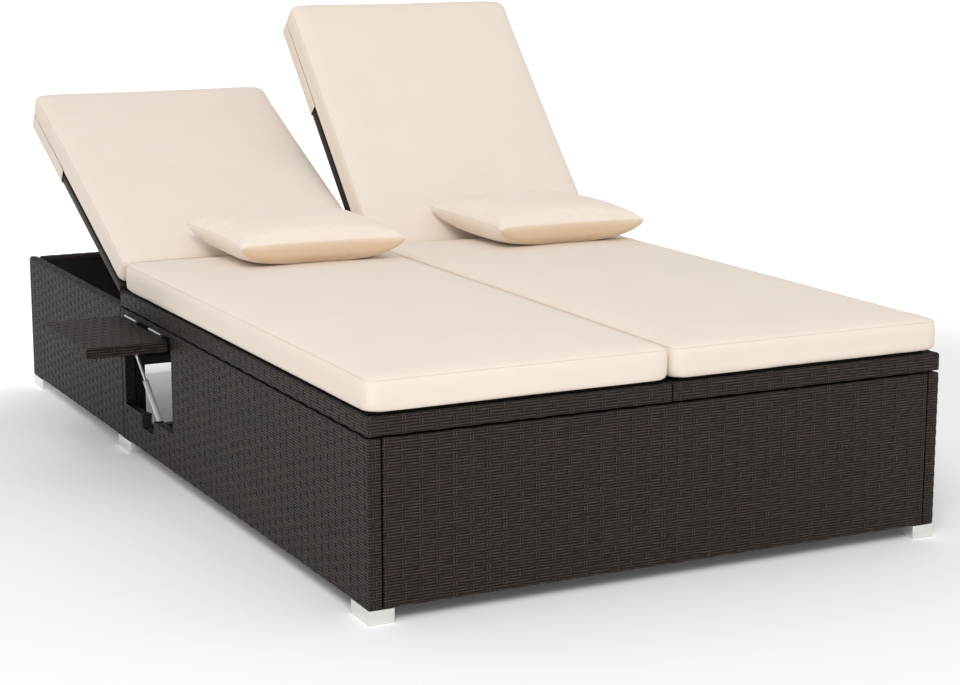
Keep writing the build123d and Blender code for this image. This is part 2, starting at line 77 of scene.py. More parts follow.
def add_node(tree, kind, inputs, **settings):
    """Add a node, set its fields, and set or link its sockets."""
    node = tree.nodes.new("ShaderNode" + kind)
    for name, value in settings.items():
        setattr(node, name, value)
    for name, value in inputs.items():
        if isinstance(value, bpy.types.NodeSocket):
            tree.links.new(value, node.inputs[name])
        else:
            node.inputs[name].default_value = value
    return node


def new_material(name, surface):
    """A material of one shader, with what is the same all over it set on the shader's sockets."""
    material = bpy.data.materials.new(name)
    material.use_nodes = True
    shader = material.node_tree.nodes["Principled BSDF"]
    for socket, value in surface.items():
        shader.inputs[socket].default_value = value
    return material, material.node_tree, shader


def lead(tree, shader, colour, gloss=None, relief=None):
    """Lead a material's colour, and its gloss and relief if it has them, to its shader."""
    tree.links.new(colour, shader.inputs["Base Color"])
    if gloss:
        tree.links.new(gloss.outputs["Result"], shader.inputs["Roughness"])
    if relief:
        tree.links.new(relief.outputs["Normal"], shader.inputs["Normal"])


def dress(material, *nodes):
    """Give carried-over CAD nodes a material."""
    for name in nodes:
        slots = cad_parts[name].data.materials
        slots.clear()
        slots.append(material)


# Polyester powder coat, sprayed dry and baked: satin black, with a fine orange peel about 1.5 mm
# across that breaks up its highlights, and a little dust in the hollows.
peel_wide, dust_wide = 1.54, 111.0
powder_coat, tree, shader = new_material(
    "powder_coat", {"Roughness": 0.5, "IOR": 1.5, "Specular IOR Level": 0.25})
place = add_node(tree, "TexCoord", {}).outputs["Object"]
peel = add_node(tree, "TexNoise", {"Vector": place, "Scale": 1000 / peel_wide, "Detail": 2.0})
dust = add_node(tree, "TexNoise", {"Vector": place, "Scale": 1000 / dust_wide, "Detail": 5.0})
tone = add_node(tree, "Mix", {0: dust.outputs["Fac"], 6: linear("#1b1715"), 7: linear("#2a2421")},
                data_type="RGBA")
gloss = add_node(tree, "MapRange", {"Value": dust.outputs["Fac"], "To Min": 0.44, "To Max": 0.6})
bump = add_node(tree, "Bump", {"Height": peel.outputs["Fac"], "Strength": 0.18, "Distance": 0.0002})
lead(tree, shader, tone.outputs[2], gloss, bump)
dress(powder_coat, "frame_posts", "bottom_rails", "top_rails", "opening_brace_left",
      "opening_brace_right")


# Feet: short caps folded from aluminium sheet, brushed along their long side and left bright.
# They sit under the four corners and under the joint between the two sections.
def merged_copy(name, flat_faces=True):
    """A copy of a CAD node's mesh in millimetres, with its loose triangles merged."""
    bm = bmesh.new()
    bm.from_mesh(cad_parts[name].data)
    bmesh.ops.remove_doubles(bm, verts=bm.verts, dist=5e-6)
    bmesh.ops.scale(bm, vec=(1000.0, 1000.0, 1000.0), verts=bm.verts)
    if flat_faces:
        bmesh.ops.dissolve_limit(bm, angle_limit=math.radians(0.5), verts=bm.verts, edges=bm.edges)
    return bm


def round_edges(bm, edges, radius, segments):
    """Bevel edges to a round of one radius."""
    bmesh.ops.bevel(bm, geom=edges, offset=radius, affect="EDGES", segments=segments, profile=0.5,
                    material=-1)


def bends(bm, least):
    """Every edge between two faces that meet at more than some angle."""
    return [e for e in bm.edges if len(e.link_faces) == 2 and e.calc_face_angle(0.0) > least]


def make_piece(name, bm, body, material, replaces=()):
    """Finish a mesh that is in millimetres, and let it ride on its body."""
    crease = math.radians(35)
    bmesh.ops.scale(bm, vec=(0.001, 0.001, 0.001), verts=bm.verts)
    for edge in bm.edges:
        edge.smooth = len(edge.link_faces) != 2 or edge.calc_face_angle(0.0) < crease
    for face in bm.faces:
        face.smooth = True
    mesh = bpy.data.meshes.new(name)
    bm.to_mesh(mesh)
    bm.free()
    mesh.materials.append(material)
    piece = add_object(name, mesh)
    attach(piece, body)
    if replaces:
        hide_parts(*replaces)
    return piece


# Brushed aluminium: grained by an abrasive belt, so its highlight spreads across the grain, with
# fine scratches along it and duller patches where hands and floors have rubbed.
grain_long, grain_wide, rub_wide = 33.3, 0.417, 25.0
brushed_aluminium, tree, shader = new_material(
    "brushed_aluminium", {"Metallic": 1.0, "Roughness": 0.45, "Anisotropic": 0.5})
place = add_node(tree, "TexCoord", {}).outputs["Object"]
stretch = add_node(tree, "Mapping", {"Vector": place, "Scale": (1000 / grain_long, 1000 / grain_long,
                                                                1000 / grain_wide)})
grain = add_node(tree, "TexNoise", {"Vector": stretch.outputs["Vector"], "Scale": 1.0, "Detail": 3.0})
rubbed = add_node(tree, "TexNoise", {"Vector": place, "Scale": 1000 / rub_wide, "Detail": 4.0})
tone = add_node(tree, "Mix", {0: grain.outputs["Fac"], 6: linear("#e3e2de"), 7: linear("#f8f7f4")},
                data_type="RGBA")
gloss = add_node(tree, "MapRange", {"Value": rubbed.outputs["Fac"], "To Min": 0.38, "To Max": 0.55})
bump = add_node(tree, "Bump", {"Height": grain.outputs["Fac"], "Strength": 0.2, "Distance": 0.0001})
lead(tree, shader, tone.outputs[2], gloss, bump)
sharp, foot_round = math.radians(40), 0.8
for place_name in ("front", "middle", "rear"):
    for side in ("left", "right"):
        bm = merged_copy(f"foot_{place_name}_{side}")
        round_edges(bm, bends(bm, sharp), foot_round, 2)
        make_piece(f"foot_cap_{place_name}_{side}", bm, "base", brushed_aluminium,
                   [f"foot_{place_name}_{side}"])


# Woven boards, shared work: each board is a light frame wrapped with flat strands of resin. The
# strands run lengthwise in pairs, over one upright stake and behind the next, 31 mm apart. Each
# strand's place along it and across it, on a band of its own, goes into the "strand" attribute.
strand_pitch = 4.95
strand_wide = 4.4
stake_pitch = 31.0
weave_depth = 0.85
weave_swing = 0.55
strand_dome = 0.5
strand_band = 97.0
stake_depth = 0.35
stake_shade = 0.9
bend_steps = 4
board_skin = 2.2
tuck = 10.0
strand_tones = random.Random(7)


def smooth_line(corners, radii=()):
    """Distance, place and normal along straight runs with rounded corners. Outside is to the right."""
    corners = [Vector(c) for c in corners]
    runs = [(b - a).normalized() for a, b in zip(corners, corners[1:])]
    points = [(corners[0], Vector((runs[0].y, -runs[0].x)))]
    for corner, radius, before, after in zip(corners[1:], radii, runs, runs[1:]):
        side = 1 if before.x * after.y > before.y * after.x else -1
        turn = before.angle(after)
        normal = Vector((before.y, -before.x))
        centre = corner - before * radius * math.tan(turn / 2) - normal * radius * side
        for step in range(bend_steps + 1):
            facing = Matrix.Rotation(side * turn * step / bend_steps, 2) @ normal
            points.append((centre + facing * radius * side, facing))
    points.append((corners[-1], Vector((runs[-1].y, -runs[-1].x))))
    line = []
    far = 0.0
    for number, (point, normal) in enumerate(points):
        far += (point - points[number - 1][0]).length if number else 0.0
        line.append((far, point, normal))
    return line


def along(line, far):
    """Place and normal at a distance along such a line."""
    number = bisect.bisect_left([spot[0] for spot in line], far)
    number = min(max(number, 1), len(line) - 1)
    low, high = line[number - 1], line[number]
    share = (far - low[0]) / max(high[0] - low[0], 1e-6)
    return low[1].lerp(high[1], share), low[2].lerp(high[2], share).normalized()


def rows_over(profile, pitch=strand_pitch):
    """Low edge, high edge and number of each strand that lies side by side over a profile."""
    count = max(round(profile[-1][0] / pitch), 1)
    step = profile[-1][0] / count
    return [(i * step, (i + 1) * step, i) for i in range(count)]


def strips(bm, across, along_count, shape, wanted):
    """A sheet of separate narrow strips, each three points wide, from one grid cut apart."""
    grid = bmesh.ops.create_grid(bm, x_segments=along_count - 1, y_segments=across * 3 - 1, size=0.5)
    spots = {}
    for vert in grid["verts"]:
        step = round((vert.co.x + 0.5) * (along_count - 1))
        place = round((vert.co.y + 0.5) * (across * 3 - 1))
        spots[vert] = (step, place // 3, place % 3 - 1)
    faces = {face for vert in spots for face in vert.link_faces}
    cut = [face for face in faces
           if len({spots[vert][1] for vert in face.verts}) > 1
           or not wanted(min(spots[vert][0] for vert in face.verts), spots[face.verts[0]][1])]
    for vert, spot in spots.items():
        shape(vert, *spot)
    bmesh.ops.delete(bm, geom=cut, context="FACES")


def weave(bm, plan, profile, rows, start=0.0):
    """Lay strands along a plan line, stacked over a profile, with the stakes that they pass behind."""
    strand = bm.verts.layers.float_vector.get("strand") or bm.verts.layers.float_vector.new("strand")
    length = plan[-1][0]
    quarter = stake_pitch / 4
    marks = [spot[0] for spot in plan]
    for step in range(math.ceil(start / quarter), math.floor((start + length) / quarter) + 1):
        mark = step * quarter - start
        if min(abs(mark - spot[0]) for spot in plan) > 1.0:
            marks.append(mark)
    stations = [(mark, *along(plan, mark)) for mark in sorted(marks)]
    tones = [strand_tones.random() for row in rows]
    levels = [[along(profile, (low + high) / 2 + step * (high - low) * strand_wide / strand_pitch / 2)
               for step in (-1, 0, 1)] for low, high, number in rows]

    def lay_strand(vert, station, row, step):
        far, place, out = stations[station]
        low, high, number = rows[row]
        level, facing = levels[row][step + 1]
        swing = math.cos(math.pi * ((far + start) / stake_pitch + number // 2 % 2))
        depth = weave_swing * swing - weave_depth - strand_dome * abs(step)
        spot = place + out * (level.x + facing.x * depth)
        vert[strand] = (far, number * strand_band + step * strand_wide / 2, tones[row])
        vert.co = (spot.x, spot.y, level.y + facing.y * depth)

    strips(bm, len(rows), len(stations), lay_strand, lambda step, row: True)
    stakes = [number for number in range(math.ceil(start / stake_pitch),
                                         1 + math.floor((start + length) / stake_pitch))
              if strand_pitch < number * stake_pitch - start < length - strand_pitch]
    if not stakes:
        return
    edges = [level for low, high, number in rows for level in (along(profile, low), along(profile, high))]

    def lay_stake(vert, edge, half, step):
        number = stakes[half // 2]
        aside = (half % 2 - 0.5) * strand_pitch + step * strand_wide / 2
        place, out = along(plan, number * stake_pitch - start + aside)
        level, facing = edges[edge]
        depth = -stake_depth - strand_dome * abs(step)
        spot = place + out * (level.x + facing.x * depth)
        vert[strand] = (level.y, half * strand_band + step * strand_wide / 2, stake_shade)
        vert.co = (spot.x, spot.y, level.y + facing.y * depth)

    strips(bm, len(stakes) * 2, len(edges), lay_stake,
           lambda edge, half: edge % 2 == 0 and (stakes[half // 2] + rows[edge // 2][2] // 2) % 2 == 1)


def mirrored(bm, side):
    """Turn a right-hand mesh into a left-hand one."""
    if side == "left":
        bmesh.ops.scale(bm, vec=(-1.0, 1.0, 1.0), verts=bm.verts)
        bmesh.ops.reverse_faces(bm, faces=bm.faces)


def board_core(node, name, body="base", skin=board_skin):
    """The board under its strands, in painted shade: the CAD node drawn in by the strands' thickness."""
    longest = 1.8
    bm = merged_copy(node, flat_faces=False)
    bm.normal_update()
    moves = [vert.normal * -min(vert.calc_shell_factor(), longest) * skin for vert in bm.verts]
    for vert, move in zip(bm.verts, moves):
        vert.co += move
    return make_piece(name, bm, body, painted_shade_board, [node])


# Extruded polyethylene strand, domed and finely ribbed by the die, matt from its pigment: dark
# brown-black, no two strands of one shade, with a painted highlight along each strand's crown that comes
# and goes along it.
rib_long, rib_wide, rib_shift = 20.0, 0.625, 3.0
strand_resin, tree, shader = new_material(
    "polyethylene_strand", {"Roughness": 0.6, "IOR": 1.5, "Specular IOR Level": 0.32})
strand_place = add_node(tree, "Attribute", {}, attribute_name="strand")
parts = add_node(tree, "SeparateXYZ", {"Vector": strand_place.outputs["Vector"]})
aside = add_node(tree, "Math", {0: parts.outputs["Y"], 1: strand_band / 2}, operation="PINGPONG")
rib_place = add_node(tree, "Mapping", {"Vector": strand_place.outputs["Vector"],
                                       "Scale": (1 / rib_long, 1 / rib_wide, rib_shift)})
ribs = add_node(tree, "TexNoise", {"Vector": rib_place.outputs["Vector"], "Scale": 1.0, "Detail": 2.0})
# Painted highlight: a paler band along the middle of each strand, stronger and weaker along it with the
# ribs' noise.
crown = add_node(tree, "MapRange", {"Value": aside.outputs["Value"], "From Min": 0.2, "From Max": 1.45,
                                    "To Min": 1.0, "To Max": 0.0}, interpolation_type="SMOOTHSTEP")
strength = add_node(tree, "MapRange", {"Value": ribs.outputs["Fac"], "From Min": 0.38, "From Max": 0.68,
                                       "To Min": 0.05, "To Max": 1.0})
painted_highlight = add_node(tree, "Math", {0: crown.outputs["Result"], 1: strength.outputs["Result"]},
                 operation="MULTIPLY")
dark = add_node(tree, "Mix", {0: parts.outputs["Z"], 6: linear("#0b0605"), 7: linear("#150e0a")},
                data_type="RGBA")
tone = add_node(tree, "Mix", {0: painted_highlight.outputs["Value"], 6: dark.outputs[2], 7: linear("#5a483b")},
                data_type="RGBA")
gloss = add_node(tree, "MapRange", {"Value": ribs.outputs["Fac"], "To Min": 0.5, "To Max": 0.72})
bump = add_node(tree, "Bump", {"Height": ribs.outputs["Fac"], "Strength": 0.5, "Distance": 0.0003})
lead(tree, shader, tone.outputs[2], gloss, bump)

# Inside of the weave: the same resin in painted shade, seen between the strands, and on the boards'
# inner faces as close cross weave 7 mm wide, nearly black. A wave of scale 1 has bands this wide.
band_wide = 1000 * 2 * math.pi / 20
inner_weave = 6.98
painted_shade_board, tree, shader = new_material("weave_painted_shade", {"Roughness": 0.8, "IOR": 1.45})
place = add_node(tree, "TexCoord", {}).outputs["Object"]
lines = add_node(tree, "TexWave", {"Vector": place, "Scale": band_wide / inner_weave,
                                   "Distortion": 0.4}, bands_direction="Z")
tone = add_node(tree, "Mix", {0: lines.outputs["Fac"], 6: linear("#0b0908"), 7: linear("#1d1816")},
                data_type="RGBA")
bump = add_node(tree, "Bump", {"Height": lines.outputs["Fac"], "Strength": 0.6, "Distance": 0.001})
lead(tree, shader, tone.outputs[2], relief=bump)

# Front board: closes the foot end between the two side boards. Its strands turn under the lower
# edge and into the seams at both ends.
floor_gap, board_top, board_thick = 25.0, 314.0, 25.0
half_bed, foot_end, head_end, seat_end = 575.0, -1020.0, 1020.0, 291.0
inner_face = half_bed - board_thick
edge_round, end_round, corner_round = 2.5, 2.0, 3.0
upright = smooth_line([(-tuck, floor_gap), (0, floor_gap), (0, board_top), (-tuck, board_top)],
                      (edge_round, edge_round))
board_core("front_panel", "front_board")
bm = bmesh.new()
board_seam, end_shift = 1.5, -16.0
seam = inner_face - board_seam
plan = smooth_line([(-seam, foot_end + tuck), (-seam, foot_end), (seam, foot_end),
                    (seam, foot_end + tuck)], (end_round, end_round))
weave(bm, plan, upright, rows_over(upright), start=end_shift)
make_piece("front_weave", bm, "base", strand_resin)

# Side boards: one piece each, with the tray opening and its notched ledge sawn out of the frame
# before weaving, so the strands wrap into the jambs and over the ledge.
open_start, open_end, ledge_level, open_top = -36.5, 270.0, 103.0, 303.5
notch_start, notch_end, notch_floor = 88.0, 164.0, 76.0
side_end = seat_end - board_seam
jamb = inner_face + 2.0
# Where the stakes fall: at the start of the foot turn, where the bed's middle line crosses, and by
# how much less beyond a jamb.
side_shift, to_middle, jamb_less = -22.5, 1030.8, 22.1
ledge_rim, ledge_end = 2.0, 1.0
board_turns = (end_round, corner_round, end_round)
foot_turn = [(inner_face, foot_end + tuck), (inner_face, foot_end), (half_bed, foot_end)]
head_turn = [(half_bed, side_end), (half_bed - tuck, side_end)]
for side in ("left", "right"):
    board_core(f"side_panel_{side}", f"side_board_{side}")
    bm = bmesh.new()
    whole, low_rows, high_rows = [], [], []
    for row in rows_over(upright):
        level = along(upright, (row[0] + row[1]) / 2)[0].y
        if ledge_level < level < open_top:
            high_rows.append(row)
        elif notch_floor < level < ledge_level:
            low_rows.append(row)
        else:
            whole.append(row)
    weave(bm, smooth_line(foot_turn + head_turn, board_turns), upright, whole, start=side_shift)
    for rows, start, end in ((high_rows, open_start, open_end), (low_rows, notch_start, notch_end)):
        weave(bm, smooth_line(foot_turn + [(half_bed, start), (jamb, start)], board_turns), upright,
              rows, start=side_shift)
        weave(bm, smooth_line([(jamb, end), (half_bed, end)] + head_turn, (end_round, end_round)),
              upright, rows, start=to_middle + end - jamb_less)
    for level, start, end in ((ledge_level, open_start, notch_start), (ledge_level, notch_end, open_end),
                              (notch_floor, notch_start, notch_end)):
        ledge = smooth_line([(-ledge_rim, level), (ledge_rim - board_thick, level)])
        run = smooth_line([(half_bed, start + ledge_end), (half_bed, end - ledge_end)])
        weave(bm, run, ledge, rows_over(ledge), start=to_middle + start)
    mirrored(bm, side)
    make_piece(f"side_weave_{side}", bm, "base", strand_resin)

# Rear box boards: two side boards and a rear board, open at the top, with a padded roll along the
# rim, over which the strands pass and are stapled off on the inner face, below which the board
# shows in painted shade, nearly black.
wall_top, roll, rim_depth, rim_start, turn_back = 318.0, 9.0, 12.0, 0.5, 9.0
rim = smooth_line([(-tuck, floor_gap), (0, floor_gap), (0, wall_top), (-board_thick, wall_top),
                   (-board_thick, wall_top - rim_depth)], (edge_round, roll, roll))
outer_far = tuck + 2.0 + wall_top - floor_gap - roll
for side in ("left", "right"):
    board_core(f"rear_side_panel_{side}", f"rear_side_board_{side}")
    bm = bmesh.new()
    rows = rows_over(rim)
    outer = [row for row in rows if row[1] < outer_far]
    rolled = [row for row in rows if row[1] >= outer_far]
    plan = smooth_line([(half_bed - tuck, seat_end), (half_bed, seat_end), (half_bed, head_end),
                        (inner_face, head_end), (inner_face, head_end - tuck)], board_turns)
    weave(bm, plan, rim, outer, start=to_middle + seat_end - turn_back)
    weave(bm, smooth_line([(half_bed, seat_end + rim_start), (half_bed, head_end)]), rim, rolled,
          start=to_middle + seat_end)
    mirrored(bm, side)
    make_piece(f"rear_side_weave_{side}", bm, "base", strand_resin)
board_core("rear_panel", "rear_board")
bm = bmesh.new()
weave(bm, smooth_line([(seam, head_end), (-seam, head_end)]), rim, rows_over(rim), start=end_shift)
make_piece("rear_weave", bm, "base", strand_resin)

# Seat frames: two woven rails side by side on the tube frame, each wound round its outside and
# over its upper edge. A strip of them shows behind the cushions, under the hinges.
frame_low, rail_top, rail_wide, rail_skin, split = 317.0, 351.0, 24.0, 1.9, 0.5
rail_tuck, rail_over, rail_round, bare_from = 8.0, 7.0, 5.0, 225.0
# Where the stakes of the outside, of the head end's top and of the side's top fall.
band_shift, head_shift, top_shift = -20.0, 5.0, 9.0
band = smooth_line([(-rail_tuck, frame_low), (0, frame_low), (0, rail_top), (-rail_over, rail_top)],
                   (end_round, rail_round))
top = smooth_line([(1 - rail_over, rail_top), (-rail_wide, rail_top),
                   (-rail_wide, rail_top - rail_over)], (end_round,))
for side in ("left", "right"):
    board_core(f"seat_frame_{side}", f"seat_rail_{side}", skin=rail_skin)
    bm = bmesh.new()
    plan = smooth_line([(split, foot_end + rail_tuck), (split, foot_end), (half_bed, foot_end),
                        (half_bed, seat_end), (split, seat_end), (split, seat_end - rail_tuck)],
                       (end_round, rail_round, rail_round, end_round))
    weave(bm, plan, band, rows_over(band), start=band_shift)
    weave(bm, smooth_line([(half_bed, seat_end), (split, seat_end)]), top, rows_over(top),
          start=head_shift)
    weave(bm, smooth_line([(half_bed, bare_from), (half_bed, seat_end - rail_wide)]), top,
          rows_over(top), start=top_shift)
    mirrored(bm, side)
    make_piece(f"seat_rail_weave_{side}", bm, "base", strand_resin)

# Seat decks: a plain weave of the same strand pulled tight over battens, hidden by the cushions
# but for a strip at the head end.
deck_cell = 13.1
# Resin strand woven over and under: raised crossings 13 mm apart, with painted shade in the hollows
# between them, and a faint gloss.
deck_weave, tree, shader = new_material("deck_weave", {"Roughness": 0.55, "IOR": 1.5})
place = add_node(tree, "TexCoord", {}).outputs["Object"]
over, under = [add_node(tree, "TexWave", {"Vector": place, "Scale": band_wide / deck_cell},
                        bands_direction=axis) for axis in "XY"]
crossed = add_node(tree, "Math", {0: over.outputs["Fac"], 1: under.outputs["Fac"]}, operation="MULTIPLY")
tone = add_node(tree, "Mix", {0: crossed.outputs["Value"], 6: linear("#120f0e"), 7: linear("#3d3532")},
                data_type="RGBA")
bump = add_node(tree, "Bump", {"Height": crossed.outputs["Value"], "Strength": 0.8, "Distance": 0.001})
lead(tree, shader, tone.outputs[2], relief=bump)
dress(deck_weave, "seat_deck_left", "seat_deck_right")

# Ratchet hinges: a stamped arm on each side of a back, and a cheek with its drum on the seat
# frame. They are black like the frame, with bright pins, and dome screws hold their straps.
cloud_wide = 3.33
# Zinc-plated steel: bright and slightly blue from its passivation, clouded in patches 3 mm wide.
zinc_steel, tree, shader = new_material("zinc_plated_steel", {"Metallic": 1.0, "Roughness": 0.28})
place = add_node(tree, "TexCoord", {}).outputs["Object"]
mottle = add_node(tree, "TexNoise", {"Vector": place, "Scale": 1000 / cloud_wide, "Detail": 4.0})
tone = add_node(tree, "Mix", {0: mottle.outputs["Fac"], 6: linear("#c4c4c6"), 7: linear("#e6e6e8")},
                data_type="RGBA")
gloss = add_node(tree, "MapRange", {"Value": mottle.outputs["Fac"], "To Min": 0.2, "To Max": 0.4})
lead(tree, shader, tone.outputs[2], gloss)
dress(powder_coat, "back_hinge_cheeks_left", "back_hinge_cheeks_right", "back_hinge_arms_left",
      "back_hinge_arms_right")
dress(zinc_steel, "back_hinge_pins_left", "back_hinge_pins_right")


def dome_screw(bm, turn, radius, height):
    """A dome head with a cross recess on a flat seat, added to a mesh at a turned place."""
    recess_half, recess_from, recess_deep = 0.14, 0.75, 0.3
    head = bmesh.ops.create_uvsphere(bm, u_segments=20, v_segments=10, radius=radius)["verts"]
    geom = list({face for vert in head for face in vert.link_faces}) + head
    geom += list({edge for vert in head for edge in vert.link_edges})
    cut = bmesh.ops.bisect_plane(bm, geom=geom, plane_co=(0, 0, 0), plane_no=(0, 0, -1),
                                 clear_outer=True)
    rest = [part for part in cut["geom"] if isinstance(part, bmesh.types.BMVert)]
    bmesh.ops.scale(bm, vec=(1, 1, height / radius), verts=rest)
    for vert in rest:
        beside = min(abs(vert.co.x), abs(vert.co.y))
        if beside < radius * recess_half and vert.co.z > height * recess_from:
            vert.co.z -= height * recess_deep
    bmesh.ops.transform(bm, matrix=turn, verts=rest)


back_middle, back_wide, tube_wide, plate, plate_gap = 287.75, 568.5, 22.0, 4.0, 0.3
strap_end = back_wide / 2 - tube_wide - 2 * plate - plate_gap
strap_middle, screw_insets, screw_radius, screw_high = 16.0, (6.0, 16.0), 4.5, 2.2
for side, sign in (("left", -1), ("right", 1)):
    bm = bmesh.new()
    for end in (-1, 1):
        for inset in screw_insets:
            spot = (sign * back_middle + end * (strap_end - inset), seat_end - strap_middle,
                    rail_top + plate)
            dome_screw(bm, Matrix.Translation(spot), screw_radius, screw_high)
    make_piece(f"hinge_screws_{side}", bm, "base", zinc_steel)

# Backs: a ring of steel tube with cross bars, welded and coated like the frame, and a woven sheet
# laced inside the ring. The tube lies with its broad side towards the sheet.
def block(wide, near, far, low, high):
    """A box as a new mesh, with its width centred on zero."""
    bm = bmesh.new()
    bmesh.ops.create_cube(bm, size=1.0)
    bmesh.ops.scale(bm, vec=(wide, far - near, high - low), verts=bm.verts)
    bmesh.ops.translate(bm, vec=(0, (near + far) / 2, (low + high) / 2), verts=bm.verts)
    return bm


hinge_place, hinge_level = 305.0, 343.0
backs = []
for side, sign, tilt in (("left", -1, 25.0), ("right", 1, 47.0)):
    hinge = Matrix.Translation((sign * back_middle, hinge_place, hinge_level))
    backs.append((side, sign, hinge @ Matrix.Rotation(math.radians(tilt), 4, "X")))
back_high, ring_long, ring_rear, ring_front = 719.0, 0.974, 2.0, 21.0
sheet_rear, sheet_core, sheet_side, sheet_low, sheet_high = 8.0, 6.0, 261.0, 17.0, 679.0
sheet_pitch, sheet_shift, ring_round = 9.0, 3.0, 2.0
for side, _, stand in backs:
    bm = merged_copy(f"back_frame_{side}")
    slim = (Matrix.Translation((0, 0, (ring_rear + ring_front) / 2))
            @ Matrix.Diagonal((1, ring_long, (ring_front - ring_rear) / tube_wide, 1)))
    bmesh.ops.transform(bm, matrix=stand @ slim @ stand.inverted(), verts=bm.verts)
    round_edges(bm, bends(bm, sharp), ring_round, 2)
    make_piece(f"back_ring_{side}", bm, f"back_{side}", powder_coat,
               [f"back_frame_{side}"])
    core_rear = sheet_rear + board_skin
    bm = block(2 * sheet_side, sheet_low, sheet_high, core_rear, core_rear + sheet_core)
    bmesh.ops.transform(bm, matrix=stand, verts=bm.verts)
    make_piece(f"back_sheet_core_{side}", bm, f"back_{side}", painted_shade_board,
               [f"back_deck_{side}"])
    bm = bmesh.new()
    plan = smooth_line([(-sheet_side, sheet_rear), (sheet_side, sheet_rear)])
    up_back = smooth_line([(0, sheet_low), (0, sheet_high)])
    weave(bm, plan, up_back, rows_over(up_back, sheet_pitch), start=sheet_shift)
    # The sheet is drawn flat on the floor plane with its back outwards, then laid on the ring.
    lay = Matrix(((1, 0, 0, 0), (0, 0, 1, 0), (0, 1, 0, 0), (0, 0, 0, 1)))
    bmesh.ops.transform(bm, matrix=stand @ lay, verts=bm.verts)
    bmesh.ops.reverse_faces(bm, faces=bm.faces)
    make_piece(f"back_sheet_weave_{side}", bm, f"back_{side}", strand_resin)


# Seat cushions: blocks of foam in a boxed cover of woven polyester, with a sewn seam along the
# upper and lower edges. Each fills its half of the bed and lies on the deck.
def spun_fabric(name, pale, deep, second=None):
    """Cushion cloth, its threads laid by the piece's own thread map. A second colour, a painted shade,
    shows where the piece's attribute for that shade says."""
    thread, slub_wide = 1.2, 111.0
    cloth, tree, shader = new_material(name, {"Roughness": 0.88, "IOR": 1.4, "Sheen Weight": 0.12,
                                              "Sheen Roughness": 0.5})
    laid = add_node(tree, "UVMap", {}, uv_map="threads")
    warp, weft = [add_node(tree, "TexWave", {"Vector": laid.outputs["UV"], "Scale": band_wide / thread,
                                             "Distortion": 0.6, "Detail": 1.0}, bands_direction=axis)
                  for axis in "XY"]
    crossed = add_node(tree, "Math", {0: warp.outputs["Fac"], 1: weft.outputs["Fac"]})
    place = add_node(tree, "TexCoord", {}).outputs["Object"]
    slub = add_node(tree, "TexNoise", {"Vector": place, "Scale": 1000 / slub_wide, "Detail": 6.0,
                                       "Roughness": 0.6})
    fade = add_node(tree, "MapRange", {"Value": slub.outputs["Fac"], "From Min": 0.25, "From Max": 0.75})
    worn = add_node(tree, "Mix", {0: fade.outputs["Result"], 6: linear(pale), 7: linear(deep)},
                    data_type="RGBA")
    if second:
        where = add_node(tree, "Attribute", {}, attribute_name="painted_under_shade")
        worn = add_node(tree, "Mix", {0: where.outputs["Fac"], 6: worn.outputs[2], 7: linear(second)},
                        data_type="RGBA")
    shade = add_node(tree, "MapRange", {"Value": crossed.outputs["Value"], "From Max": 2.0,
                                        "To Min": 0.96, "To Max": 1.03})
    tone = add_node(tree, "VectorMath", {0: worn.outputs[2], "Scale": shade.outputs["Result"]},
                    operation="SCALE")
    bump = add_node(tree, "Bump", {"Height": crossed.outputs["Value"], "Strength": 0.25,
                                   "Distance": 0.0003})
    lead(tree, shader, tone.outputs["Vector"], relief=bump)
    return cloth


def lay_threads(mesh, stand):
    """Map the cloth's threads square to a piece, on each of its sides."""
    level = stand.inverted()
    spots = [level @ (vert.co * 1000) * 0.001 for vert in mesh.vertices]
    turn = level.to_3x3()
    threads = mesh.uv_layers.new(name="threads")
    for polygon in mesh.polygons:
        facing = turn @ polygon.normal
        away = max(range(3), key=lambda axis: abs(facing[axis]))
        first, second = [axis for axis in range(3) if axis != away]
        for loop in polygon.loop_indices:
            spot = spots[mesh.loops[loop].vertex_index]
            threads.data[loop].uv = (spot[first], spot[second])


def shown_mesh(thing):
    """A new mesh of what an object shows once its modifiers have worked."""
    return bpy.data.meshes.new_from_object(
        thing.evaluated_get(bpy.context.evaluated_depsgraph_get()))


def boxed_skin(wide, long, high, crown, corners, voxel):
    """The skin of a boxed cushion in metres, centred on its floor: domed, drawn in, evenly meshed.
    Its corners have one radius at the low end and one at the high end."""
    rounding, side_draw, end_strip, bend, crown_from = 7.0, 0.002, 0.1, 1.2, 0.4
    side_fall, end_fall, end_square = 0.6, 0.8, 2.4
    bm = block(wide, -long / 2, long / 2, 0.0, high)
    for end, corner in zip((-1, 1), corners):
        upright = [e for e in bm.edges if abs(e.verts[0].co.z - e.verts[1].co.z) > high / 2
                   and e.verts[0].co.y * end > long / 2 - end_strip]
        round_edges(bm, upright, corner, 5)
    round_edges(bm, bends(bm, bend), rounding, 3)
    bmesh.ops.scale(bm, vec=(0.001, 0.001, 0.001), verts=bm.verts)
    mesh = bpy.data.meshes.new("skin")
    bm.to_mesh(mesh)
    bm.free()
    solid = add_object("skin", mesh)
    even = solid.modifiers.new("even", "REMESH")
    even.mode = "VOXEL"
    even.voxel_size = voxel
    shape = shown_mesh(solid)
    bpy.data.objects.remove(solid)
    for vert in shape.vertices:
        x, y, z = vert.co
        over, far = x / wide * 2000, y / long * 2000
        lift = max(1 - over ** 2, 0) ** side_fall * max(1 - abs(far) ** end_square, 0) ** end_fall
        vert.co.z += lift * crown * 0.001 * max(z / high * 1000 - crown_from, 0) / (1 - crown_from)
        vert.co.x -= over * side_draw * (1 - far ** 2)
        vert.co.y -= far * side_draw * (1 - over ** 2)
    return shape


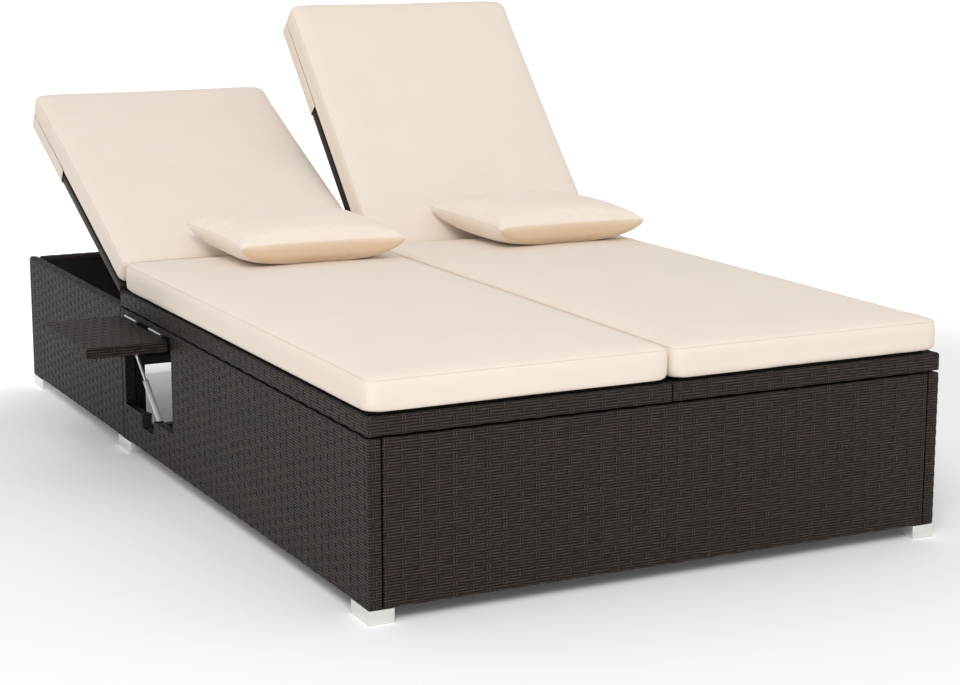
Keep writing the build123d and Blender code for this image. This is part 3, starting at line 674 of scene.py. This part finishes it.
def stuffed(name, shape, stand, room, cloth, cap, pressure, corners=()):
    """Swell a skin as its filling does, each point by no more than a cap, fit it to its room and
    place it. Room is the width, length, lowest and highest level that the piece has. A boxed piece
    has its lower edge drawn out to a seam along an outline with rounded corners."""
    frames, edge_high, edge_fade, reach, near, pull, spread = 15, 0.022, 0.01, 0.04, 0.016, 0.3, 1.4667
    wide, long, low, high = room
    room = ((-wide / 2, -long / 2, low), (wide / 2, long / 2, high))
    piece = add_object(name, shape)
    skin = piece.modifiers.new("stuffing", "CLOTH")
    skin.settings.use_pressure = True
    skin.settings.uniform_pressure_force = pressure
    skin.settings.effector_weights.gravity = 0.0
    for number in range(1, frames + 1):
        bpy.context.scene.frame_set(number)
    grown = piece.evaluated_get(bpy.context.evaluated_depsgraph_get()).to_mesh()
    spots = [vert.co.copy() for vert in grown.vertices]
    piece.modifiers.remove(skin)
    bpy.context.scene.frame_set(1)
    for vert, spot in zip(shape.vertices, spots):
        step = spot - vert.co
        vert.co += step * min(1.0, cap * 0.001 / max(step.length, 1e-9))
    for axis in range(3):
        places = [vert.co[axis] for vert in shape.vertices]
        low, high = min(places), max(places)
        bottom, top = room[0][axis] * 0.001, room[1][axis] * 0.001
        for vert in shape.vertices:
            vert.co[axis] = bottom + (vert.co[axis] - low) * (top - bottom) / (high - low)
    for vert in shape.vertices if corners else ():
        share = min(max((edge_high - vert.co.z) / edge_fade, 0.0), 1.0)
        corner = corners[vert.co.y > 0.0]
        turn = [abs(vert.co[axis]) - (room[1][axis] - corner) * 0.001 for axis in range(2)]
        if min(turn) > 0.0:
            away = Vector(turn).normalized()
            inset = corner * 0.001 - math.hypot(*turn)
        else:
            away = Vector((1.0, 0.0)) if turn[0] > turn[1] else Vector((0.0, 1.0))
            inset = corner * 0.001 - max(turn)
        if inset < reach:
            tight = min(inset, near) * pull + max(inset - near, 0.0) * spread
            vert.co.x += math.copysign((inset - tight) * share * away.x, vert.co.x)
            vert.co.y += math.copysign((inset - tight) * share * away.y, vert.co.y)
    smooth = piece.modifiers.new("fine", "SUBSURF")
    smooth.levels = 1
    smooth.render_levels = 1
    final = shown_mesh(piece)
    piece.modifiers.clear()
    piece.data = final
    final.transform(Matrix.Scale(1000, 4))
    final.transform(stand)
    final.transform(Matrix.Scale(0.001, 4))
    lay_threads(final, stand)
    final.shade_smooth()
    final.materials.append(cloth)
    return piece


def sewn_line(name, piece, stand, wide, long, level, corner, body, material, thick=0.8):
    """A corded seam round a soft piece, laid on its skin at one level."""
    stitch, outside, sunk = 12, 60, 0.0002
    tree = BVHTree.FromObject(piece, bpy.context.evaluated_depsgraph_get())
    ring = smooth_line([(0, -long / 2), (wide / 2, -long / 2), (wide / 2, long / 2),
                        (-wide / 2, long / 2), (-wide / 2, -long / 2), (0, -long / 2)],
                       (corner, corner, corner, corner))
    count = round(ring[-1][0] / stitch)
    spots = []
    for number in range(count):
        place, out = along(ring, ring[-1][0] * number / count)
        start = stand @ Vector((*(place + out * outside), level))
        aim = (stand @ Vector((place.x, place.y, level)) - start).normalized()
        hit = tree.ray_cast(start * 0.001, aim)[0]
        if hit is not None:
            spots.append(hit + aim * sunk)
    line = bpy.data.curves.new(name, "CURVE")
    line.dimensions = "3D"
    line.bevel_depth = thick * 0.001
    line.bevel_resolution = 1
    spline = line.splines.new("POLY")
    spline.points.add(len(spots) - 1)
    for point, spot in zip(spline.points, spots):
        point.co = (*spot, 1.0)
    spline.use_cyclic_u = True
    drawn = add_object("line", line)
    mesh = shown_mesh(drawn)
    bpy.data.objects.remove(drawn)
    mesh.materials.append(material)
    mesh.shade_smooth()
    seam = add_object(name, mesh)
    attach(seam, body)
    return seam


# Solution-dyed polyester, plain woven and lightly brushed: a warm cream with no gloss, threads
# 1.2 mm apart that only show close by, and a faint cloudiness where the foam bears on it.
cream_cloth = spun_fabric("cream_polyester", "#f1e4d7", "#ede0d2")
# Seam cord: the same cloth folded narrow over a string, a shade deeper than the cover.
cord_cloth = spun_fabric("seam_cord", "#e8d9ca", "#e1d1c1")
# The left cushion is pressed back against its own back cushion.
cushion_wide, cushion_high, cushion_plump, cushion_split = 573.25, 60.0, 17.5, 1.5
cushion_front, cushion_pushed, cushion_pressed, cloth_gap = foot_end + 2, 260.0, 242.0, 0.3
stuffing_wide, stuffing_high = 6.0, 3.0
seams = (("upper", 56.0), ("lower", 6.0))
for side, sign, cushion_rear in (("left", -1, cushion_pushed), ("right", 1, cushion_pressed)):
    long = cushion_rear - cushion_front
    stand = Matrix.Translation((sign * (cushion_split + cushion_wide) / 2, cushion_front + long / 2,
                                rail_top + cloth_gap))
    skin = boxed_skin(cushion_wide - stuffing_wide, long - stuffing_wide, cushion_high - stuffing_high,
                      crown=13.0, corners=(20.0, 12.0), voxel=0.011)
    room = (cushion_wide, long, 0.0, cushion_high + cushion_plump)
    piece = stuffed(f"seat_pad_{side}", skin, stand, room, cream_cloth, cap=6.0, pressure=3.0,
                    corners=(22.0, 14.0))
    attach(piece, "base")
    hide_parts(f"seat_cushion_{side}")
    pressed = [piece]
    for edge, level in seams:
        pressed.append(sewn_line(f"seat_pad_seam_{edge}_{side}", piece, stand, cushion_wide, long,
                                 level, corner=12.0, body="base", material=cord_cloth))
    if side == "left":
        for soft in pressed:
            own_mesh(soft)

# Back cushions: boxed like the seat cushions and a little thinner. They lie on the ring and are
# held to it by the pocket at the top alone.
back_long, back_deep, back_plump, side_room, overlap = 727.0, 58.0, 12.5, 0.8, 5.0
back_stuffing = 8.0
for side, _, ring_stand in backs:
    stand = ring_stand @ Matrix.Translation((0, back_long / 2 - overlap, ring_front + cloth_gap))
    skin = boxed_skin(cushion_wide - back_stuffing, back_long - stuffing_wide, back_deep - stuffing_high,
                      crown=9.0, corners=(12.0, 26.0), voxel=0.010)
    room = (cushion_wide - side_room, back_long, 0.0, back_deep + back_plump)
    piece = stuffed(f"back_pad_{side}", skin, stand, room, cream_cloth, cap=6.0, pressure=3.0,
                    corners=(14.0, 28.0))
    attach(piece, f"back_{side}")
    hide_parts(f"back_cushion_{side}")
    sewn_line(f"back_pad_seam_{side}", piece, stand, cushion_wide, back_long, level=53.0,
              corner=22.0, body=f"back_{side}", material=cord_cloth)

# Cushion pockets: a sleeve of the same cloth, sewn to the border of the cushion's cover and pulled
# over the top of the back's frame, with a turned hem along its open lower edge.
pocket_long, pocket_rim, hem, hem_lift, cloth_thick, sag = 256.0, 34.0, 22.0, 0.5, 1.4, 1.2
pocket_over, pocket_beside, pocket_behind, sag_from = 3.2, 0.6, 2.3, 2.0
pocket_end = back_high * ring_long + pocket_over
pocket_half, pocket_rear = cushion_wide / 2 + pocket_beside, ring_rear - pocket_behind
pocket_round, fold_round, cuts = 8.0, 5.0, 24
broad_wave, fine_wave, fine_slant, fine_share = 0.045, 0.11, 0.02, 0.6
for side, sign, stand in backs:
    bm = block(2 * pocket_half, pocket_end - pocket_long, pocket_end, pocket_rear, pocket_rim)
    bm.normal_update()
    open_sides = [f for f in bm.faces if f.normal.z > 0.9 or f.normal.y < -0.9]
    bmesh.ops.delete(bm, geom=open_sides, context="FACES")
    corners = [e for e in bm.edges if len(e.link_faces) == 2
               and abs(e.verts[0].co.z - e.verts[1].co.z) > (pocket_rim - pocket_rear) / 2]
    round_edges(bm, corners, pocket_round, 5)
    round_edges(bm, bends(bm, 1.0), fold_round, 3)
    for cut in range(1, cuts):
        for spot, facing in (((0, pocket_end - pocket_long * cut / cuts, 0), (0, 1, 0)),
                             ((pocket_half * (2 * cut / cuts - 1), 0, 0), (1, 0, 0))):
            bmesh.ops.bisect_plane(bm, geom=bm.verts[:] + bm.edges[:] + bm.faces[:], plane_co=spot,
                                   plane_no=facing)
    for vert in bm.verts:
        low = min(max((pocket_end - vert.co.y) / pocket_long, 0.0), 1.0)
        fine = math.sin(vert.co.x * fine_wave + vert.co.y * fine_slant)
        ripple = math.sin(vert.co.x * broad_wave + sign) + fine_share * fine
        if vert.co.z < ring_rear - sag_from:
            vert.co.z -= sag * low * (1.0 + 0.5 * ripple)
        if pocket_end - vert.co.y > pocket_long - hem:
            vert.co.z -= hem_lift
    bmesh.ops.solidify(bm, geom=bm.faces[:], thickness=cloth_thick)
    bmesh.ops.recalc_face_normals(bm, faces=bm.faces)
    bmesh.ops.transform(bm, matrix=stand, verts=bm.verts)
    piece = make_piece(f"pocket_cloth_{side}", bm, f"back_{side}", cream_cloth,
                       [f"cushion_pocket_{side}"])
    lay_threads(piece.data, stand)

# Pillows: two panels sewn round their edge and filled with fibre, so the corners draw out to points
# and the edges pucker. They lie loose on the seat cushions.
pillow_wide, pillow_deep, pillow_under, pillow_over = 376.0, 324.0, 57.0, 40.0
pillow_place, pillow_level, lean_back, lean_aside = 138.0, 476.0, 1.3, 0.8
seam_room, swell_room, gathers_a, gathers_b, squareness = 3.0, 4.0, 6.0, 5.0, 2.6
seam_inset, pucker_high, fold_high, fold_count, fold_fade = 4.0, 1.2, 2.2, 9, 4.5
# How slowly a pillow rises from its seam: above, and below at its sides, its front and its rear.
ease_above, ease_side, ease_front, ease_rear = 0.6, 0.42, 0.24, 0.5
# Pillow polyester: woven like the cushions' cloth and dyed a paler cream, with a painted shade of
# peach where the cloth faces forward and down, under the pillow's front edge.
pillow_cloth = spun_fabric("pillow_polyester", "#f6e9db", "#f2e3d3", "#e3caae")
for side, across, yaw in (("left", -232.0, 1.0), ("right", 351.0, 2.8)):
    stand = Matrix.Translation((across, pillow_place, pillow_level))
    for lean, axis in ((yaw, "Z"), (lean_back, "X"), (lean_aside, "Y")):
        stand = stand @ Matrix.Rotation(math.radians(lean), 4, axis)
    bm = bmesh.new()
    over = bmesh.ops.create_grid(bm, x_segments=60, y_segments=52, size=0.5)["verts"]
    under = bmesh.ops.create_grid(bm, x_segments=60, y_segments=52, size=0.5)["verts"]
    bmesh.ops.reverse_faces(bm, faces=list({face for vert in under for face in vert.link_faces}))
    below = set(under)
    for vert in bm.verts:
        a, b = vert.co.x * 2, vert.co.y * 2
        full_a, full_b = max(1 - abs(a) ** squareness, 0), max(1 - abs(b) ** squareness, 0)
        ease_a, ease_b = ease_above, ease_above
        if vert in below:
            ease_a, ease_b = ease_side, ease_front if b < 0 else ease_rear
        plump = full_a ** ease_a * full_b ** ease_b
        pull_a = gathers_a * max(math.cos(b * math.pi / 2), 0) ** 0.6
        pull_b = gathers_b * max(math.cos(a * math.pi / 2), 0) ** 0.6
        # Puckers run along the edges, and folds fan out from each corner.
        reach = math.hypot(1 - abs(a), 1 - abs(b))
        fold = math.sin(fold_count * math.atan2(1 - abs(b), 1 - abs(a) + 1e-9) + a + 2 * b)
        pucker = (pucker_high * math.sin(a * 31 + b * 17) * max(abs(a), abs(b)) ** 14
                  + fold_high * fold * math.exp(-fold_fade * reach) * min(reach * 5, 1))
        rise = swell_room - pillow_under if vert in below else pillow_over - swell_room
        vert.co = (a * (pillow_wide / 2 - seam_room - pull_a), b * (pillow_deep / 2 - seam_room - pull_b),
                   rise * plump + (pucker if full_a * full_b > 0 else 0))
    bmesh.ops.remove_doubles(bm, verts=bm.verts, dist=0.01)
    bmesh.ops.recalc_face_normals(bm, faces=bm.faces)
    bmesh.ops.scale(bm, vec=(0.001, 0.001, 0.001), verts=bm.verts)
    shape = bpy.data.meshes.new("pillow_skin")
    bm.to_mesh(shape)
    bm.free()
    room = (pillow_wide, pillow_deep, -pillow_under, pillow_over)
    piece = stuffed(f"pillow_pad_{side}", shape, stand, room, pillow_cloth, cap=8.0, pressure=4.0)
    # The painted peach shade begins where the cloth turns this far forward and down, and is full a little
    # further.
    forward_from, forward_span, down_from, down_span = 0.15, 0.5, 0.25, 0.3
    painted_shade_values = piece.data.attributes.new("painted_under_shade", "FLOAT", "POINT")
    for number, vert in enumerate(piece.data.vertices):
        forward = min(max((-vert.normal.y - forward_from) / forward_span, 0.0), 1.0)
        down = min(max((down_from - vert.normal.z) / down_span, 0.0), 1.0)
        painted_shade_values.data[number].value = forward * down
    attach(piece, "base")
    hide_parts(f"pillow_{side}")
    sewn_line(f"pillow_seam_{side}", piece, stand, pillow_wide - seam_inset, pillow_deep - seam_inset,
              level=0.0, corner=3.0, body="base", material=pillow_cloth, thick=1.0)

# Trays: woven boards like the sides, hinged in the openings and held level by a gas strut each.
tray_edge, tray_side, tray_low, tray_high = 748.0, 168.5, 275.0, 299.0
tray_start, tray_end, loop_gap, end_gap = -35.0, 268.5, 0.5, 1.0
loop_shift, short_shift, tray_middle = 7.0, 12.0, (tray_low + tray_high) / 2
loop = smooth_line([(-tray_side, tray_middle), (-tray_side, tray_low), (0, tray_low), (0, tray_high),
                    (-tray_side, tray_high), (-tray_side, tray_middle)], [corner_round] * 4)
for side in ("left", "right"):
    board_core(f"tray_panel_{side}", f"tray_board_{side}", f"tray_{side}")
    bm = bmesh.new()
    run = smooth_line([(tray_edge, tray_start + loop_gap), (tray_edge, tray_end - loop_gap)])
    weave(bm, run, loop, rows_over(loop), start=loop_shift)
    ends = smooth_line([(0, tray_low + end_gap), (0, tray_high - end_gap)])
    inner, outer = tray_edge - tray_side + end_gap, tray_edge - end_gap
    for run in ([(inner, tray_start), (outer, tray_start)], [(outer, tray_end), (inner, tray_end)]):
        weave(bm, smooth_line(run), ends, rows_over(ends), start=short_shift)
    mirrored(bm, side)
    make_piece(f"tray_weave_{side}", bm, f"tray_{side}", strand_resin)

# Tray hinges and struts: bright zinc-plated butt hinges with rolled knuckles, and a gas spring
# whose pale barrel is pinned at the foot and whose rod ends in a ball joint under the tray.
for side in ("left", "right"):
    dress(zinc_steel, f"tray_hinge_fixed_leaves_{side}", f"tray_hinge_moving_leaves_{side}",
          f"tray_hinge_pins_{side}", f"strut_rod_{side}", f"strut_lower_bracket_{side}",
          f"strut_lower_pin_{side}")
# Stoved enamel: sprayed on the barrel and the socket and baked, pale grey with a soft gloss and a
# slight orange peel.
enamel_peel, enamel_dust = 2.0, 40.0
enamel, tree, shader = new_material("stoved_enamel", {"Roughness": 0.4, "IOR": 1.5})
place = add_node(tree, "TexCoord", {}).outputs["Object"]
peel = add_node(tree, "TexNoise", {"Vector": place, "Scale": 1000 / enamel_peel, "Detail": 2.0})
dust = add_node(tree, "TexNoise", {"Vector": place, "Scale": 1000 / enamel_dust, "Detail": 4.0})
tone = add_node(tree, "Mix", {0: dust.outputs["Fac"], 6: linear("#dbd7d4"), 7: linear("#e9e6e3")},
                data_type="RGBA")
bump = add_node(tree, "Bump", {"Height": peel.outputs["Fac"], "Strength": 0.15, "Distance": 0.0002})
lead(tree, shader, tone.outputs[2], relief=bump)
for side in ("left", "right"):
    dress(enamel, f"strut_upper_bracket_{side}", f"strut_cylinder_{side}")

# Floor: a plain pale studio floor, without an edge. It isn't part of the bed.
bm = bmesh.new()
bmesh.ops.create_grid(bm, x_segments=1, y_segments=1, size=40.0)
mesh = bpy.data.meshes.new("floor")
bm.to_mesh(mesh)
bm.free()
floor = add_object("floor", mesh)
# Matt white studio paint. Away from the bed it adds white of its own for the eye and for mirrors,
# so the background comes out white while the bed's soft shadow stays on the floor. Towards the head
# end it glows already under the rear box: a painted pool of light, seen through the tray opening.
paint, tree, shader = new_material("studio_floor", {"Roughness": 0.9, "Base Color": linear("#fbfaf8")})
place = add_node(tree, "TexCoord", {}).outputs["Object"]
about = add_node(tree, "VectorMath", {0: place, 1: (0.0, -0.4, 0.0)}, operation="DISTANCE")
split_place = add_node(tree, "SeparateXYZ", {"Vector": place})
# The ramp along the bed paints light on the floor under the rear box, inside the bed.
around, beyond = [
    add_node(tree, "MapRange", {"Value": far, "From Min": first, "From Max": last, "To Min": 0.04,
                                "To Max": 0.5}, interpolation_type="SMOOTHSTEP")
    for far, first, last in ((about.outputs["Value"], 1.6, 3.0), (split_place.outputs["Y"], 0.6, 1.4))]
white = add_node(tree, "Math", {0: around.outputs["Result"], 1: beyond.outputs["Result"]},
                 operation="MAXIMUM")
rays = add_node(tree, "LightPath", {})
seen = add_node(tree, "Math", {0: rays.outputs["Is Camera Ray"], 1: rays.outputs["Is Glossy Ray"]},
                operation="MAXIMUM")
seen = add_node(tree, "Math", {0: seen.outputs["Value"], 1: rays.outputs["Is Transmission Ray"]},
                operation="MAXIMUM")
lift = add_node(tree, "Math", {0: seen.outputs["Value"], 1: white.outputs["Value"]},
                operation="MULTIPLY")
shader.inputs["Emission Color"].default_value = (1.0, 1.0, 1.0, 1.0)
tree.links.new(lift.outputs["Value"], shader.inputs["Emission Strength"])
mesh.materials.append(paint)

# Light: an even pale studio, white behind the bed, and one broad lamp before it on the left.
world = bpy.data.worlds.new("studio")
world.use_nodes = True
tree = world.node_tree
sky = tree.nodes["Background"]
rays = add_node(tree, "LightPath", {})
strength = add_node(tree, "MapRange", {"Value": rays.outputs["Is Camera Ray"], "To Min": 0.7,
                                       "To Max": 1.0})
sky.inputs["Color"].default_value = (1.0, 1.0, 1.0, 1.0)
tree.links.new(strength.outputs["Result"], sky.inputs["Strength"])
bpy.context.scene.world = world
lamp = bpy.data.lights.new("key", "AREA")
lamp.size = 3.0
lamp.energy = 211.0
light = add_object("key", lamp)
light.location = (-3.0, -5.2, 5.0)
light.rotation_euler = (Vector((0, 0, 0.3)) - light.location).to_track_quat("-Z", "Y").to_euler()
bpy.context.scene.view_settings.view_transform = "Standard"

bpy.context.view_layer.update()
